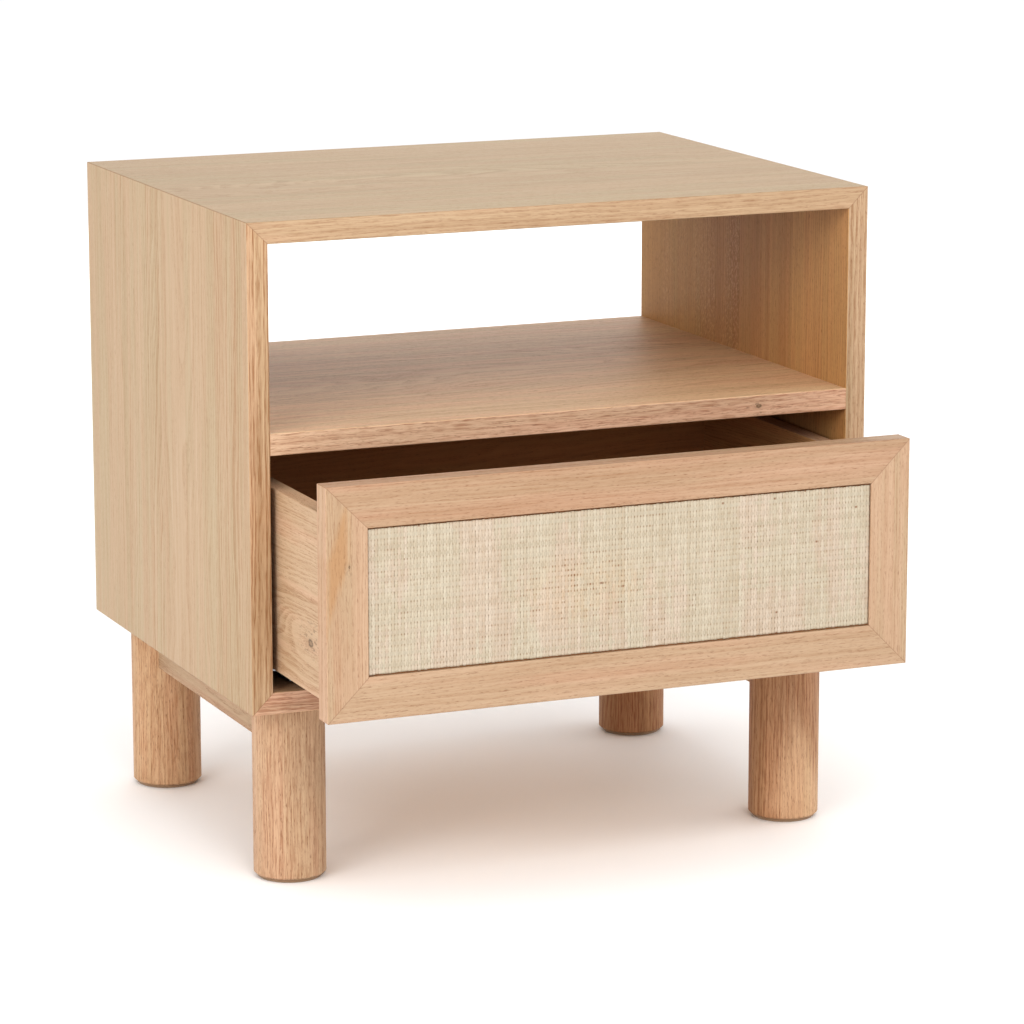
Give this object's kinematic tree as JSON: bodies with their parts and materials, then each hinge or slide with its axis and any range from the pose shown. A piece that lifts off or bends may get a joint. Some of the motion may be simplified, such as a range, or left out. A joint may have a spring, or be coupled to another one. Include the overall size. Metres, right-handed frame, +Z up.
{
  "type": "nightstand",
  "caption": "Light oak bedside cabinet with an open niche over an inset drawer whose front is a mitred frame round woven rattan, on round legs",
  "frame": {"origin": "on the floor, under the middle of the box's footprint; the drawer, which is stored pulled out 118 mm, isn't counted", "axes": "+X to the right seen from the front, along the drawer front; +Y from the front to the back; +Z up"},
  "size_m": [0.55, 0.528, 0.55],
  "materials": {
    "oak_box": "clear matt lacquer over light oak",
    "oak_legs": "clear matt lacquer over solid light oak",
    "oak_drawer_front": "clear matt lacquer over light oak",
    "drawer_box_wood": "clear sealed light wood",
    "veneered_board": "thin veneered board, matt",
    "beech": "bare beech",
    "rattan": "closely woven natural rattan, unvarnished",
    "zinc_plated_steel": "zinc-plated rolled sheet",
    "screw_steel": "zinc-plated, dull",
    "ball_steel": "polished balls",
    "spring_steel": "drawn wire",
    "brass": "turned brass",
    "glide_felt": "pressed grey-brown felt",
    "grey_plastic": "moulded, fine texture",
    "white_plastic": "moulded, smooth"
  },
  "bodies": {
    "cabinet": {"top_panel": "oak_box", "left_side_panel": "oak_box", "right_side_panel": "oak_box", "bottom_panel": "oak_box", "shelf": "oak_box", "back_panel": "veneered_board", "carcass_splines": "beech", "shelf_dowels": "beech", "front_left_leg": "oak_legs", "front_right_leg": "oak_legs", "rear_left_leg": "oak_legs", "rear_right_leg": "oak_legs", "left_leg_rail": "oak_legs", "right_leg_rail": "oak_legs", "leg_rail_dowels": "beech", "leg_inserts": "brass", "leg_bolts": "screw_steel", "rail_screws": "screw_steel", "floor_glides": "glide_felt", "left_cabinet_runner": "zinc_plated_steel", "right_cabinet_runner": "zinc_plated_steel", "runner_screws": "screw_steel", "latch_housing": "grey_plastic", "latch_cap": "grey_plastic", "latch_spring": "spring_steel", "latch_screws": "screw_steel"},
    "drawer": {"drawer_left_side": "drawer_box_wood", "drawer_right_side": "drawer_box_wood", "drawer_inner_front": "drawer_box_wood", "drawer_back": "drawer_box_wood", "drawer_bottom": "veneered_board", "drawer_dowels": "beech", "drawer_bottom_screws": "screw_steel", "front_top_rail": "oak_drawer_front", "front_bottom_rail": "oak_drawer_front", "front_left_stile": "oak_drawer_front", "front_right_stile": "oak_drawer_front", "front_splines": "beech", "rattan_backing_board": "veneered_board", "rattan_panel": "rattan", "front_fixing_screws": "screw_steel", "left_drawer_runner": "zinc_plated_steel", "right_drawer_runner": "zinc_plated_steel", "drawer_runner_screws": "screw_steel", "runner_clips": "grey_plastic", "latch_striker": "grey_plastic", "striker_screws": "screw_steel"},
    "left_ball_carriage": {"left_ball_cage": "white_plastic", "left_runner_balls": "ball_steel"},
    "right_ball_carriage": {"right_ball_cage": "white_plastic", "right_runner_balls": "ball_steel"},
    "plunger": {"latch_plunger": "white_plastic"}
  },
  "joints": [
    {"name": "drawer_slide", "type": "slide", "parent": "cabinet", "child": "drawer", "axis": [0, -1, 0], "range_m": [-0.118, 0.122]},
    {"name": "left_cage_slide", "type": "slide", "parent": "cabinet", "child": "left_ball_carriage", "axis": [0, -1, 0], "range_m": [-0.059, 0.061]},
    {"name": "right_cage_slide", "type": "slide", "parent": "cabinet", "child": "right_ball_carriage", "axis": [0, -1, 0], "range_m": [-0.059, 0.061]},
    {"name": "latch_press", "type": "slide", "parent": "cabinet", "child": "plunger", "axis": [0, 1, 0], "range_m": [0, 0.003], "stiffness_N_per_m": 300, "springref_m": -0.01, "deforming": ["latch_spring"]}
  ],
  "couplings": [
    {"joint": "left_cage_slide", "follows": "drawer_slide", "ratio": 0.5},
    {"joint": "right_cage_slide", "follows": "drawer_slide", "ratio": 0.5}
  ]
}
